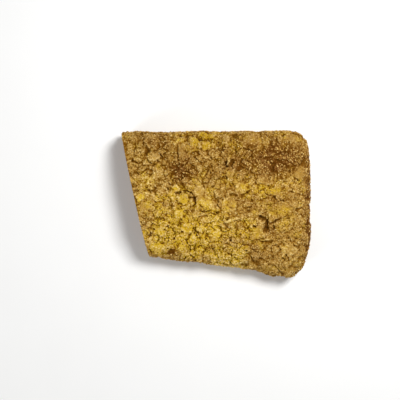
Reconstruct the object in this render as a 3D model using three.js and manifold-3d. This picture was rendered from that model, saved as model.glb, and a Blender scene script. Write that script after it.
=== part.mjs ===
// The cut end of a ciabatta: a flat loaf with a crust of maize flour that has cracked into plates.
// Millimetres, +Z up: +X runs from the cut face to the baked end, and the base rests on z = 0.
import * as THREE from "three";
import { mergeVertices } from "three/addons/utils/BufferGeometryUtils.js";
import Module from "manifold-3d";

const wasm = await Module();
wasm.setup();

const { clamp, lerp, smoothstep, smootherstep } = THREE.MathUtils;

// Plan of the loaf
const BAKED_END = 91.4; // the tip of the baked end, along X
const END_START = 58; // where the body begins to close towards that end
const CUT = { x: -79.4, y: 9.4, slope: -0.22 }; // a point of the knife's path in plan, and its slant

// The two long sides, along +Y and -Y: reach at mid length, gain for each millimetre of X, and one swelling
const FAR = { reach: 70.6, flare: 0.015, swell: 1.8, at: -14, spread: 18 };
const NEAR = { reach: 60.7, flare: 0.125, swell: 3.2, at: 58, spread: 22 };

// Section of the loaf
const CROWN_HEIGHT = 41; // top of the crust above the base
const WAIST_HEIGHT = 13; // where the sides are widest
const FOOT_DEPTH = 16; // the foot's curve would end this far under the waist, but the base cuts it flat
const ROUND = { far: 2.8, near: 2.3, foot: 4 }; // roundness of the section: 2 is an ellipse, more is squarer
const END_ROUND = { far: 5, near: 3.3, crown: 2.3, foot: 6 }; // the same for the baked end

// Relief of the crust
const LUMP = { size: 34, height: 1.6 }; // broad unevenness
const PLATE = { size: 14, lift: 1.4 }; // plates of the cracked crust
const WARP = { size: 15, reach: 4, shifts: [0, 31, 67] }; // bends the plates' edges: one field for each axis
const CRACK = { width: 4.4, depth: 2.2 }; // grooves between the plates
const BARE_FOOT = 9; // the relief fades out over this height above the base
const TEARS = [
  { x: 45, y: -22, along: 6, across: 3.4, turn: 1.45, depth: 5 }, // the burst bubble near the baked end
  { x: 40, y: -11.5, along: 6, across: 2.4, turn: -0.6, depth: 3.5 },
  { x: 55, y: -16, along: 8, across: 2.2, turn: 0.45, depth: 2.6 },
  { x: 10, y: 38.5, along: 4.5, across: 2.6, turn: 1.2, depth: 3.5 },
  { x: -31, y: 11.5, along: 9, across: 2.2, turn: -0.3, depth: 3 },
  { x: 47, y: -34, along: 11, across: 2.4, turn: 0.15, depth: 2.2 }, // under the folded edge
];

// Crumb of the cut face
const PORE = { seed: 7, tries: 300, most: 22, largest: 4.3, smallest: 1.4, taper: 0.6 };
const SOUND = { share: 0.9, rind: 3.5, gap: 1.2 }; // crumb left whole: ends, under the crust, between pores
const POCKET = { depth: 0.9, height: 0.72 }; // a pore's other sizes, for each millimetre along the cut

// Mesh of the untrimmed loaf, which runs on past the knife and under the oven floor
const LATTICE = { along: 66, across: 35, up: 14 };
const OVERRUN = 9;
const TRIM = { length: 300, thickness: 60 };
const HALVINGS = 40; // bisection steps of the search for the loaf's surface
const TEN_BITS = 1023;

const COLOUR = { crust: 0xa57f36 };
const UP = new THREE.Vector3(0, 0, 1);
const ALONG_CUT = new THREE.Vector3(-CUT.slope, -1, 0).normalize();
const INTO_CUT = new THREE.Vector3(1, -CUT.slope, 0).normalize();
const CUT_FRAME = new THREE.Matrix4().makeBasis(ALONG_CUT, INTO_CUT, UP).setPosition(CUT.x, CUT.y, 0);

// A repeatable 32-bit mix of three whole numbers
function hash(ix, iy, iz) {
  let h = Math.imul(ix, 0x8da6b343) ^ Math.imul(iy, 0xd8163841) ^ Math.imul(iz, 0xcb1ab31f);
  h = Math.imul(h ^ (h >>> 13), 0x5bd1e995);
  h = Math.imul(h ^ (h >>> 15), 0x27d4eb2d);
  return (h ^ (h >>> 14)) >>> 0;
}

// A repeatable number from 0 to 1
function chance(ix, iy, iz) {
  return hash(ix, iy, iz) / 0xffffffff;
}

// Smooth random field from -1 to 1: the numbers of a cell's eight corners, blended by distance
function noise(p) {
  const cell = p.clone().floor();
  const blend = p.clone().sub(cell).toArray().map((share) => smootherstep(share, 0, 1));
  let sum = 0;
  for (let corner = 0; corner < 8; corner++) {
    const step = [corner & 1, (corner >> 1) & 1, corner >> 2];
    const weight = step.reduce((product, s, k) => product * (s ? blend[k] : 1 - blend[k]), 1);
    sum += weight * chance(cell.x + step[0], cell.y + step[1], cell.z + step[2]);
  }
  return 2 * sum - 1;
}

// The plate that a point lies in, as its random share from 0 to 1, and the way to the plate's edge, in cells:
// each cell holds one seed, and the edge is halfway between the two nearest seeds
function plateAt(p) {
  const home = p.clone().floor();
  const seeds = [];
  for (let n = 0; n < 27; n++) {
    const step = new THREE.Vector3(n % 3, Math.floor(n / 3) % 3, Math.floor(n / 9)).subScalar(1);
    const cell = step.add(home);
    const h = hash(cell.x, cell.y, cell.z);
    const jitter = new THREE.Vector3(h & TEN_BITS, (h >>> 10) & TEN_BITS, (h >>> 20) & TEN_BITS);
    const seed = cell.addScaledVector(jitter, 1 / TEN_BITS);
    seeds.push({ seed, share: h / 0xffffffff, distance: seed.distanceTo(p) });
  }
  const [own, next] = seeds.sort((a, b) => a.distance - b.distance);
  const edge = (next.distance ** 2 - own.distance ** 2) / (2 * own.seed.distanceTo(next.seed));
  return { share: own.share, edge };
}

// Depth of the tears in the top crust at a point: each is an oval dent, deepest in its middle
function tearDepth(p) {
  const depths = TEARS.map(({ x, y, along, across, turn, depth }) => {
    const [dx, dy] = [p.x - x, p.y - y];
    const u = (dx * Math.cos(turn) + dy * Math.sin(turn)) / along;
    const v = (dy * Math.cos(turn) - dx * Math.sin(turn)) / across;
    return depth * Math.max(0, 1 - u * u - v * v) ** 0.5;
  });
  return p.z > WAIST_HEIGHT ? Math.max(...depths) : 0;
}

// How far the crust stands out of the smooth loaf at a point: lumps, plates, cracks between them, and tears
function relief(p) {
  const lump = LUMP.height * noise(p.clone().divideScalar(LUMP.size));
  const q = p.clone().divideScalar(WARP.size);
  const warp = new THREE.Vector3(...WARP.shifts.map((shift) => noise(q.clone().addScalar(shift))));
  const plate = plateAt(p.clone().addScaledVector(warp, WARP.reach).divideScalar(PLATE.size));
  const inPlate = smoothstep(plate.edge * PLATE.size, 0, CRACK.width / 2);
  const raised = PLATE.lift * (plate.share - 0.5) * inPlate - CRACK.depth * (1 - inPlate);
  return (lump + raised - tearDepth(p)) * smoothstep(p.z, 0, BARE_FOOT);
}

// What is left of a size when the baked end has closed by a share of its length: 1 at its start, 0 at the tip
function closing(share, round) {
  return (1 - clamp(share, 0, 1) ** round) ** (1 / round);
}

// How far a long side reaches from the X axis at station x
function sideReach({ reach, flare, swell, at, spread }, x) {
  return reach + flare * x + swell * Math.exp(-(((x - at) / spread) ** 2));
}

// Whether a point of the box that the loaf fills lies outside the loaf, by the sum of its powers
function isOutside(end, across, up) {
  const round = up < 0 ? ROUND.foot : across > 0 ? ROUND.far : ROUND.near;
  const half = closing(end, across > 0 ? END_ROUND.far : END_ROUND.near);
  const height = closing(end, up < 0 ? END_ROUND.foot : END_ROUND.crown);
  return Math.abs(across / half) ** round + Math.abs(up / height) ** round > 1;
}

// A point of a box's skin, drawn in towards the box's middle line until it meets the smooth loaf.
// along runs from 0 beyond the knife to 1 at the baked end, across and up from -1 to 1.
function loafPoint(along, across, up) {
  const start = CUT.x - OVERRUN;
  const bodyShare = (END_START - start) / (BAKED_END - start);
  const end = Math.max(0, (along - bodyShare) / (1 - bodyShare));
  let [low, high] = [0, 1];
  for (let n = 0; n < HALVINGS; n++) {
    const middle = (low + high) / 2;
    if (isOutside(middle * end, middle * across, middle * up)) high = middle;
    else low = middle;
  }
  const x = end > 0 ? lerp(END_START, BAKED_END, low * end) : lerp(start, END_START, along / bodyShare);
  const y = lerp(-sideReach(NEAR, x), sideReach(FAR, x), (1 + low * across) / 2);
  const z = WAIST_HEIGHT + low * up * (up > 0 ? CROWN_HEIGHT - WAIST_HEIGHT : FOOT_DEPTH);
  const slant = CUT.slope * Math.max(0, (END_START - x) / (END_START - CUT.x));
  return new THREE.Vector3(x + slant * (y - CUT.y), y, z);
}

// A geometry with only positions, each shared by the faces that meet there
function welded(geometry) {
  const bare = geometry.clone();
  bare.deleteAttribute("normal");
  bare.deleteAttribute("uv");
  return mergeVertices(bare);
}

// The whole loaf with its cracked crust: a box's lattice, rounded to the loaf and pushed out by the relief
function crustedLoaf() {
  const skin = welded(new THREE.BoxGeometry(1, 2, 2, LATTICE.along, LATTICE.across, LATTICE.up));
  const { position } = skin.attributes;
  for (let i = 0; i < position.count; i++) {
    const p = loafPoint(position.getX(i) + 0.5, position.getY(i), position.getZ(i));
    position.setXYZ(i, p.x, p.y, p.z);
  }
  skin.computeVertexNormals();
  for (let i = 0; i < position.count; i++) {
    const p = new THREE.Vector3().fromBufferAttribute(position, i);
    const out = new THREE.Vector3().fromBufferAttribute(skin.attributes.normal, i);
    p.addScaledVector(out, relief(p));
    position.setXYZ(i, p.x, p.y, p.z);
  }
  return skin;
}

// The air beyond the knife's path
function slicedOff() {
  const block = new THREE.BoxGeometry(TRIM.length, TRIM.thickness, TRIM.length);
  return block.translate(0, -TRIM.thickness / 2, 0).applyMatrix4(CUT_FRAME);
}

// The oven floor that the base was baked flat on
function ovenFloor() {
  const block = new THREE.BoxGeometry(TRIM.length, TRIM.length, TRIM.thickness);
  return block.translate(0, 0, -TRIM.thickness / 2);
}

// Half the length of the cut, and the height of the crust at a distance along it from its middle
const HALF_CUT = (sideReach(FAR, CUT.x) + sideReach(NEAR, CUT.x)) / 2 / -ALONG_CUT.y;
function crownOverCut(along) {
  return WAIST_HEIGHT + (CROWN_HEIGHT - WAIST_HEIGHT) * closing(Math.abs(along) / HALF_CUT, ROUND.near);
}

// Places of the crumb's open pores, the largest first, so that none meets another or the crust
function poresOfCut() {
  const found = [];
  for (let n = 0; n < PORE.tries && found.length < PORE.most; n++) {
    const size = lerp(PORE.largest, PORE.smallest, (found.length / PORE.most) ** PORE.taper);
    const along = HALF_CUT * SOUND.share * (2 * chance(n, 1, PORE.seed) - 1);
    const height = CROWN_HEIGHT * chance(n, 2, PORE.seed);
    const turn = Math.PI * chance(n, 3, PORE.seed);
    const spacing = size + SOUND.gap;
    const isClear = (pore) => Math.hypot(pore.along - along, pore.height - height) > pore.size + spacing;
    const ceiling = crownOverCut(Math.abs(along) + size) - SOUND.rind;
    if (found.every(isClear) && height - size > SOUND.rind && height + size < ceiling) {
      found.push({ along, height, size, turn });
    }
  }
  return found;
}

// One pore: a flattened pocket, turned in the plane of the cut
function porePocket({ along, height, size, turn }) {
  const pocket = new THREE.IcosahedronGeometry(1, 1);
  pocket.scale(size, size * POCKET.depth, size * POCKET.height).rotateY(turn);
  return pocket.translate(along, 0, height).applyMatrix4(CUT_FRAME);
}

// A closed geometry as a solid that can be cut
function solidOf(geometry) {
  const { attributes, index } = welded(geometry);
  const vertProperties = new Float32Array(attributes.position.array);
  const triVerts = new Uint32Array(index.array);
  return new wasm.Manifold(new wasm.Mesh({ numProp: 3, vertProperties, triVerts }));
}

// The loaf as it is left: baked flat, sliced, with the pores that the knife opened
function cutLoaf() {
  const cutters = [slicedOff(), ovenFloor(), ...poresOfCut().map(porePocket)];
  const loaf = cutters.reduce((solid, cutter) => solid.subtract(solidOf(cutter)), solidOf(crustedLoaf()));
  const { vertProperties, triVerts } = loaf.getMesh();
  const geometry = new THREE.BufferGeometry();
  geometry.setAttribute("position", new THREE.BufferAttribute(vertProperties, 3));
  geometry.setIndex(new THREE.BufferAttribute(triVerts, 1));
  geometry.computeVertexNormals();
  return geometry;
}

const crust = new THREE.MeshStandardMaterial({ color: COLOUR.crust, roughness: 0.9, metalness: 0 });
const ciabatta = new THREE.Mesh(cutLoaf(), crust);
ciabatta.name = "ciabatta";

const part = new THREE.Group();
part.add(ciabatta);

export default part;
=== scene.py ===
"""Looks of a cut ciabatta loaf: its crust of cracked maize flour, its crumb, and the loose meal on top.

Lengths are in metres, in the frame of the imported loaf. +X runs from the cut face to the baked end,
and +Z is up.
"""

from functools import cache
from math import atan, cos, pi, sin
from typing import NamedTuple

import bpy
import numpy as np
from bpy.props import FloatProperty, FloatVectorProperty, IntProperty, PointerProperty
from mathutils import Euler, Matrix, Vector


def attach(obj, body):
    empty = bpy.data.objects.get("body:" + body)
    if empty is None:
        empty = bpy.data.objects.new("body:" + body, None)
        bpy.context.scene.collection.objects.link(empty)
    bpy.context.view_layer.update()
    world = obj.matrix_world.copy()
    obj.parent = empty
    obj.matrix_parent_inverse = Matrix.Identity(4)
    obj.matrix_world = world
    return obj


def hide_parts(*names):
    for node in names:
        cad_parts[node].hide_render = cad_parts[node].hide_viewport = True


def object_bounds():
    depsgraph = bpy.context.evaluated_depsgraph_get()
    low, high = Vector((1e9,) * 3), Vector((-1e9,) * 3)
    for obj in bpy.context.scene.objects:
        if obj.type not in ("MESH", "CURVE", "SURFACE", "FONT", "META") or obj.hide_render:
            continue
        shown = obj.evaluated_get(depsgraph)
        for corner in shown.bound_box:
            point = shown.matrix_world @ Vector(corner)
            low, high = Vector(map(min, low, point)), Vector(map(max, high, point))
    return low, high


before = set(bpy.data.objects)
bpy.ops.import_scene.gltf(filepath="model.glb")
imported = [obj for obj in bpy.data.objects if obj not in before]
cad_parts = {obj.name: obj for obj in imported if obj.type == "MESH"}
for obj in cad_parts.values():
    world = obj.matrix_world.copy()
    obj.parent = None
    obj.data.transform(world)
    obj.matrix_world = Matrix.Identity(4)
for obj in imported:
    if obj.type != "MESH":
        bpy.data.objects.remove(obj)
CAD_LOW, CAD_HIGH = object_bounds()

bl_info = {
    "name": "Ciabatta loaf",
    "version": (1, 0, 0),
    "blender": (4, 5, 0),
    "location": "3D View > Sidebar > Ciabatta",
    "description": "Dresses a cut ciabatta loaf with its crust, crumb and loose maize meal",
    "category": "Object",
}

MM = 0.001


class Side(NamedTuple):
    """A long side of the loaf: reach at mid length, gain along X, and one swelling."""

    reach: float
    flare: float
    swell: float
    at: float
    spread: float


class Tear(NamedTuple):
    """A crack or hole in the top crust, in millimetres and degrees.

    It has a middle, length, width, turn from +X and depth, and its middle bows to its left.
    """

    x: float
    y: float
    length: float
    width: float
    turn: float
    depth: float
    bow: float = 0.0


class Patch(NamedTuple):
    """A soft-edged oval of another tone on the top crust, in millimetres.

    It has a middle, half sizes and a strength.
    """

    x: float
    y: float
    along: float
    across: float
    strength: float


class Flap(NamedTuple):
    """A smoother plate that stands up from the top crust, in millimetres and degrees.

    It has a middle, half sizes, turn and lift, and is yellower and paler than the crust by a share.
    """

    x: float
    y: float
    along: float
    across: float
    turn: float
    lift: float
    yellow: float
    pale: float


class Plates(NamedTuple):
    """Plates that the crust has cracked into.

    They have a width and a difference in height, gaps with a half width and depth, a value below which
    a gap is shut, and edges with a size and reach of their bends.
    """

    size: float
    lift: float
    gap: float
    depth: float
    shut: float
    bend_size: float
    bend_reach: float


class Crags(NamedTuple):
    """One size of crags on the crust.

    They have a width and a height, and creases with a depth, a breadth and a value below which they
    are shut.
    """

    size: float
    height: float
    depth: float
    breadth: float
    shut: float


# Form of the loaf, the same as the solid's
BAKED_END = 91.4 * MM
END_START = 58 * MM
CUT_X, CUT_Y, CUT_SLOPE = -79.4 * MM, 9.4 * MM, -0.22
FAR = Side(70.6 * MM, 0.015, 1.8 * MM, -14 * MM, 18 * MM)
NEAR = Side(60.7 * MM, 0.125, 3.2 * MM, 58 * MM, 22 * MM)
CROWN_HEIGHT, WAIST_HEIGHT, FOOT_DEPTH = 41 * MM, 13 * MM, 16 * MM
ROUND_FAR, ROUND_NEAR, ROUND_FOOT = 2.8, 2.3, 4.0
END_ROUND_FAR, END_ROUND_NEAR, END_ROUND_CROWN, END_ROUND_FOOT = 5.0, 3.3, 2.3, 6.0
HALVINGS = 36

# Random fields: shifts that keep them apart, a turn that hides their lattice, and their largest numbers
BEND_SHIFTS = (0, 31, 67)
CRAGGY_SHIFT, OPEN_SHIFT, SECOND_SHIFT, HUE_SHIFT = 3, 5, 9, 13
NOISE_TURN = (0.5, 0.3, 0.6)
CRAG_TURN = np.array(Euler(NOISE_TURN).to_matrix())
WHOLE_HASH, TEN_BITS = 0xFFFFFFFF, 1023

# Relief of the crust
LUMP_SIZE, LUMP_HEIGHT = 34 * MM, 1.6 * MM
BARE_FOOT = 9 * MM
PLATES = Plates(14 * MM, 1.4 * MM, 1.2 * MM, 0.6 * MM, -0.3, 15 * MM, 4 * MM)
CRAGS = (
    Crags(10 * MM, 1.0 * MM, 1.2 * MM, 0.18, -0.6),
    Crags(5.2 * MM, 0.66 * MM, 0.95 * MM, 0.2, -0.7),
    Crags(2.8 * MM, 0.3 * MM, 0.25 * MM, 0.3, -0.6),
)
CRAG_BEND, CRAG_LEVEL, SECOND_FINENESS = 0.4, 0.5, 1.3
GAP_SPAN, HAIRLINE = 0.7, 0.02 * MM
CREASE_SPAN, CREASE_SPREAD = 0.6, 1.7
CRAGGY_LEAST, CRAGGY_SIZE, CRAGGY_FADE, CRAGGY_SPAN = 0.6, 22 * MM, 90 * MM, (-0.7, 0.2)
GRIT_SIZE, GRIT_HEIGHT = 1.0 * MM, 0.25 * MM
WALL_EASE = 1.4 * MM
RISE_ROUNDS, RISE_HEIGHT = 56, 1.2 * MM
TEARS = (
    Tear(45.8, -23.6, 9, 8, 80, 4.2),
    Tear(46.2, -18.4, 9, 4, 85, 3.6),
    Tear(41.3, -12.4, 13, 4.8, -22, 3.2, -0.8),
    Tear(54.4, -15.8, 13, 2.2, 24, 2.8),
    Tear(52.7, -21.8, 6, 2.2, 80, 1.6, -0.8),
    Tear(34.6, -21.2, 3.4, 3.0, 45, 3),
    Tear(45.4, -36.4, 20, 5.0, 8, 1.5, 0.8),
    Tear(13.6, 39.2, 9, 5, 78, 3.2),
    Tear(7.2, 38.3, 8, 2.4, 72, 2.8),
    Tear(9, 35.7, 3, 2.2, 60, 3),
    Tear(-37.3, 10.2, 6, 1.8, 17, 2.8),
    Tear(-27.6, 10.4, 11, 2.0, -29, 3.2, 0.6),
    Tear(-21.6, 3.6, 11, 3.2, -72, 2.8),
    Tear(-69.2, 49.2, 12, 4.6, 90, 2.7, -1.8),
    Tear(-55.2, 44.6, 9, 2.4, 90, 3.0, -1.6),
    Tear(-64.2, 39.6, 9, 1.4, -48, 1.8),
    Tear(-38, 45.2, 12, 2.4, -80, 2.0, 0.8),
    Tear(-15.8, 62.2, 13, 3.2, -22, 3.4),
    Tear(-47.3, 14.7, 4, 2.0, -35, 2.4),
    Tear(-30.4, 18.2, 5, 1.4, 90, 1.6),
    Tear(-5, 16.5, 7, 2.2, 35, 2.2),
    Tear(-9.4, 31, 5, 1.8, 90, 2.2),
    Tear(-63, 27.5, 7, 2.6, 30, 2.2),
    Tear(-67, 16.5, 5, 2.2, 20, 2.2),
    Tear(-63, 11.8, 4, 2.6, -20, 2.4),
    Tear(-75.8, 38, 5, 2.4, -35, 2.2),
    Tear(-51.4, 56.6, 6, 3.4, 40, 1.8),
    Tear(28.2, 52.3, 12, 2.2, -22, 2.0),
    Tear(17.6, 52.6, 7, 1.8, 80, 2.6),
    Tear(11.2, 60.9, 6, 2.8, 35, 2.4),
    Tear(5.8, 52.6, 11, 1.8, 95, 2.4, 0.9),
    Tear(19, 59, 6, 1.6, -60, 2.2),
    Tear(-6, 62, 6, 1.6, 35, 2.2),
    Tear(1.4, 58.6, 6, 1.4, -60, 2.2),
    Tear(21.4, 39.3, 8, 1.6, 50, 2.2),
    Tear(18.9, 27, 3, 1.8, 15, 2.2),
    Tear(49, 57.3, 5, 2.6, 10, 2.2),
    Tear(7.7, 25.5, 5, 1.6, -60, 2.0),
    Tear(35.5, 19.8, 7, 2.0, 85, 2.2),
    Tear(26.5, 11.4, 11, 2.2, 36, 2.8, -0.8),
    Tear(16.6, 8.3, 6, 2.2, -5, 2.0),
    Tear(52.7, 6, 5, 2.6, 0, 2.4),
    Tear(45.3, 10.2, 11, 1.4, -40, 1.9),
    Tear(60.2, 4, 8, 1.4, -26, 1.8),
    Tear(70.1, 11.1, 6, 1.6, -20, 2.0),
    Tear(74.8, -5.9, 6, 2, -70, 2.0),
    Tear(-43.2, -2.6, 4, 2.2, 80, 2.0),
    Tear(-55, -13, 6, 2.0, 45, 2.0),
    Tear(-34.4, -14.3, 4, 1.8, 75, 2.4),
    Tear(-21.6, -23.6, 7, 2.2, 85, 2.6),
    Tear(-20, -29.4, 4, 1.8, -70, 2.2),
    Tear(-11, -5.4, 15, 2.0, 0, 3.0, -1.6),
    Tear(-0.7, -8, 4, 2.6, -30, 2.2),
    Tear(-18.2, -12.5, 6, 1.4, 30, 1.8),
    Tear(-21.6, -41.6, 6, 1.6, 60, 2.0),
    Tear(-4.2, -44, 4, 2.2, 85, 3.2),
    Tear(-0.3, -35.7, 5, 2.0, 20, 2.2),
    Tear(-62, -19, 4, 2.6, 45, 2.0),
    Tear(-50, -24.7, 3, 3.0, 0, 2.0),
    Tear(-41.5, -33.4, 4, 2.6, 60, 2.0),
    Tear(30, -3.7, 5, 2.2, 15, 2.4),
    Tear(67.3, -13, 2.4, 1.8, 0, 2.2),
    Tear(27.7, -44.5, 3, 1.8, 0, 2.2),
    Tear(57.3, -41, 4, 2.2, 30, 2.0),
    Tear(-43.1, -44.9, 11, 5, -5, 1.8),
    Tear(-11.3, -46.2, 6, 3, -10, 1.8),
    Tear(-31.1, -52.2, 4, 1.6, 65, 2.2),
    Tear(-59.1, 9.5, 7, 1.6, 85, 2.2),
    Tear(-51.6, 0.5, 6, 1.6, 80, 2.0),
    Tear(-63.5, -29.5, 6, 1.6, 40, 2.0),
    Tear(-50.6, -34.3, 6, 1.6, 85, 2.2),
    Tear(-47.2, -23, 8, 1.6, 88, 2.2),
    Tear(-29.4, -36.8, 8, 1.6, -75, 2.2),
    Tear(4.6, -13, 6, 1.6, 80, 2.2),
    Tear(16.8, -19.6, 7, 1.6, 75, 1.8),
    Tear(12.4, -35.4, 6, 2.0, 60, 2.2),
    Tear(17.6, -41.3, 5, 1.4, 75, 1.8),
    Tear(62.7, -51.6, 5, 2.4, -20, 2.0),
    Tear(-37.4, 37.8, 6, 1.6, 85, 1.8),
    Tear(75.3, 23.2, 5, 2.2, -30, 2.0),
)
FLAPS = (
    Flap(-14, 7.6, 14, 6.5, -51, 1.2, 0.0, 0.1),
    Flap(-39.8, 14.6, 4, 4, 0, 1.0, 0.0, 0.2),
    Flap(-60, 43.8, 6, 4, 10, 1.0, 0.0, 0.0),
    Flap(-31.3, 49, 6.5, 7, 0, 0.8, 0.0, -0.2),
    Flap(-22.4, 59.3, 6, 6, 0, 0.8, 0.1, 0.05),
    Flap(-11, 54.6, 5, 4, 0, 0.7, 0.4, 0.1),
    Flap(-11, 66.4, 8, 2.5, -15, 0.8, 0.6, -0.1),
    Flap(33, 60.8, 10, 5, -5, 0.8, 0.0, 0.0),
    Flap(11.5, 28.3, 4, 4.5, 0, 0.9, 0.0, 0.0),
    Flap(21.8, 15, 6, 6, 0, 1.2, 0.0, 0.0),
    Flap(42.5, 23, 6, 5, 0, 0.6, 0.0, -0.1),
    Flap(53.4, 12.3, 6, 4, 0, 0.6, 0.2, -0.1),
    Flap(70.8, 63, 8, 4, -10, 0.8, 0.0, 0.0),
    Flap(39.7, -26.3, 7, 7, 0, 0.5, 0.1, 0.2),
    Flap(68, -43, 8, 5.5, -15, 0.9, 0.0, 0.35),
    Flap(62.3, -4.6, 8, 5, 0, 0.5, 0.0, -0.1),
    Flap(-29, -22.5, 6, 5, 0, 0.8, 0.9, -0.05),
    Flap(-23.8, -32.4, 4, 4, 0, 0.8, 0.9, -0.05),
    Flap(-16.7, -23.5, 4, 3.5, 0, 0.8, 1.0, 0.05),
    Flap(-36.5, -9, 5, 4.5, 0, 0.7, 1.0, 0.0),
    Flap(-31.8, 4.8, 4.5, 5.5, 0, 0.9, 0.9, -0.1),
    Flap(-59, -41.4, 8, 5, -10, 0.6, 0.2, 0.35),
    Flap(-73.2, 5.7, 4, 4, 0, 0.7, 0.9, 0.0),
    Flap(13.4, -15, 9, 1.3, 14, 1.2, 0.0, 0.3),
    Flap(-67.6, -2.8, 5, 5.5, 0, 0.7, 0.0, -0.1),
    Flap(-54.9, -26.8, 4.5, 3.5, 20, 0.6, 0.6, 0.0),
    Flap(-0.7, -27.9, 4.5, 4, 0, 0.6, 0.5, 0.05),
    Flap(10.6, -0.9, 8, 8, 0, 0.7, 0.0, 0.1),
    Flap(78.3, 30.2, 6, 7, 0, 0.5, 0.0, 0.15),
    # A narrow pale lip beside the hole: raised, and partly a painted highlight
    Flap(9.8, 40.4, 4, 1.1, 78, 0.8, 0.0, 0.5),
    Flap(45, -34, 10, 1.1, 8, 0.7, 0.0, 0.35),
)
FLAP_CALM, FLAP_EDGE = 0.75, (0.75, 1.05)
FRAY_REACH, FRAY_SIZES = 0.7 * MM, (4 * MM, 1.8 * MM)

# Tones of the top crust
BROWNED = (
    Patch(-34, 29, 12, 13, 1.5),
    Patch(52, 40, 24, 15, 1.3),
    Patch(14, 35, 16, 10, 0.6),
    Patch(-58, 56, 16, 9, 0.7),
    Patch(-62, 38, 16, 10, 0.15),
    Patch(76, 44, 12, 18, 0.3),
    Patch(28, 3, 14, 11, 0.55),
    Patch(-24, 0, 9, 12, 0.28),
    Patch(28, -31, 9, 8, 0.25),
    Patch(60, 4, 18, 12, 0.3),
    Patch(46, -28, 22, 12, 0.2),
    # Browner along the far edge, where the top curves away: partly browning, partly painted shade
    Patch(10, 67, 95, 8, 0.35),
    Patch(-20, 51, 12, 10, 0.4),
    # Paler along the near edge, which turns away from the lamps: painted light
    Patch(11, -57, 16, 7, -1.9),
    Patch(-5, -24, 9, 12, -0.12),
    Patch(28, -17, 9, 8, -0.12),
    Patch(11, -3, 9, 8, -0.1),
    Patch(-55, -36, 14, 12, -0.12),
    Patch(38, 22, 9, 7, -0.15),
    Patch(-6, 22, 8, 7, 0.35),
    Patch(80, -43, 8, 10, 0.25),
    Patch(55, -18, 16, 8, 0.15),
    Patch(-56, 63, 9, 6, 0.2),
    Patch(-39, 62, 8, 7, -0.7),
    Patch(92, -5, 7, 60, 1.25),
    Patch(46, -21, 8, 7, 0.5),
    Patch(38, -50, 20, 8, 0.55),
    Patch(64, -44, 10, 7, -0.3),
    Patch(25, 54, 45, 10, 0.42),
    Patch(-24, 22, 10, 6, -0.9),
    # A small pale spot where white bits glint: partly pale flour, partly painted highlight
    Patch(47, 59, 3, 3, -0.8),
    Patch(38, 22, 4, 4, -0.6),
    Patch(-43, -45, 8, 4, 1.2),
    Patch(12, -42, 26, 9, 0.18),
    Patch(-39, -17, 8, 7, 0.26),
    Patch(-48, 19, 12, 8, -0.25),
    Patch(66, 24, 10, 9, -0.22),
    Patch(58, -64, 12, 5, -0.5),
)
FLOURED = (
    Patch(-36, -8, 14, 20, 1.0),
    Patch(-20, -31, 24, 14, 0.9),
    Patch(-66, 8, 10, 18, 0.25),
    Patch(-5, 9, 8, 8, 0.4),
    Patch(28, -17, 8, 8, 0.7),
    Patch(-58, -26, 14, 18, 0.6),
    Patch(12, -44, 14, 9, 0.6),
    Patch(24, 18, 26, 8, 0.45),
    Patch(56, 16, 22, 8, 0.25),
    Patch(30, -26, 16, 9, 0.5),
    Patch(-12, 57, 16, 8, 0.5),
    Patch(-3, -18, 12, 11, 0.6),
    Patch(11, -57, 14, 6, 1.6),
    Patch(-22, -47, 12, 8, 0.8),
    Patch(-56, -43, 8, 6, 0.6),
    Patch(20, 64, 60, 7, 0.35),
    Patch(28, 5, 9, 8, 0.4),
    Patch(62, -17, 12, 8, 0.35),
    Patch(28, 49, 12, 8, 0.3),
    Patch(-14, -6, 9, 8, 0.3),
)
PATCH_FRAY, PATCH_FRAY_SIZE = 5 * MM, 9 * MM
HOLLOW_SPAN = (0.5 * MM, 5 * MM)
HUE_SIZE, HUE_REACH = 7 * MM, 0.7
FOOT_SPAN, FOOT_BROWNED = (2 * MM, 16 * MM), 0.5
BROWNED_LIMITS = (-2, 1)
BASE_TONES = {"hollow": 0.0, "rise": 0.0, "hue": 0.3, "calm": 0.0, "browned": 0.35, "floured": 0.3}
RIM_TONES = {"hollow": 0.0, "rise": 1.2, "hue": 0.4, "calm": 0.0, "browned": 0.0, "floured": 0.1}

# The cut: a frame with one axis along the knife's path and one into the loaf
ALONG_CUT = np.array((-CUT_SLOPE, -1.0, 0.0)) / np.hypot(CUT_SLOPE, 1.0)
INTO_CUT = np.array((1.0, -CUT_SLOPE, 0.0)) / np.hypot(CUT_SLOPE, 1.0)
CUT_MIDDLE = np.array((CUT_X, CUT_Y, 0.0))

# Deepest relief at the cut, and how much deeper it may get on the way into the loaf
CUT_SHELL, CUT_SPREAD = 0.8 * MM, 0.35

# Pores and grain of the crumb, the large pores the same as the solid's
PORE_SEED, PORE_TRIES, PORE_COUNT = 7, 300, 22
PORE_LARGEST, PORE_SMALLEST, PORE_TAPER = 4.3 * MM, 1.4 * MM, 0.6
SOUND_SHARE, SOUND_RIND, PORE_GAP = 0.9, 3.5 * MM, 1.2 * MM
POCKET_DEPTH, POCKET_HEIGHT = 0.9, 0.72
PORE_FRAY, PORE_FRAY_SIZE = 0.8 * MM, 3 * MM
SMALL_PORE_CELLS, SMALL_PORE_REACH = (3.4 * MM, 1.8 * MM), 0.55
GRAIN_SIZE, GRAIN_DEPTH = 1.2 * MM, 0.25 * MM
CRUMB_FINENESS, CRUMB_EDGE = (2, 3), 0.03

# Nubs and grains: where they lie, how deep they sit, their tones, and how uneven they are
NUB_SEED, MEAL_SEED = 11, 23
NUB_ON_BROWN, MEAL_ON_BROWN = -0.85, -0.2
BARE_RISE, BARE_SPAN, BARE_CALM = 0.2, (0.1, 0.6), 0.7
NUB_SINK, MEAL_SINK = 0.35, 0.1
NUB_TONES = ("browned", "floured", "hue", "calm", "rise")
NUB_BROWNED, NUB_RISE = 0.7, (-0.6, 1.0)
MEAL_SWELL, MEAL_DARKNESS = 0.3, 2.5
KNOBBLE = (0.75, 1.15)
SLIMMEST, STOUTEST = (0.8, 0.65, 0.55), (1.2, 1.0, 0.85)

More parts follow.
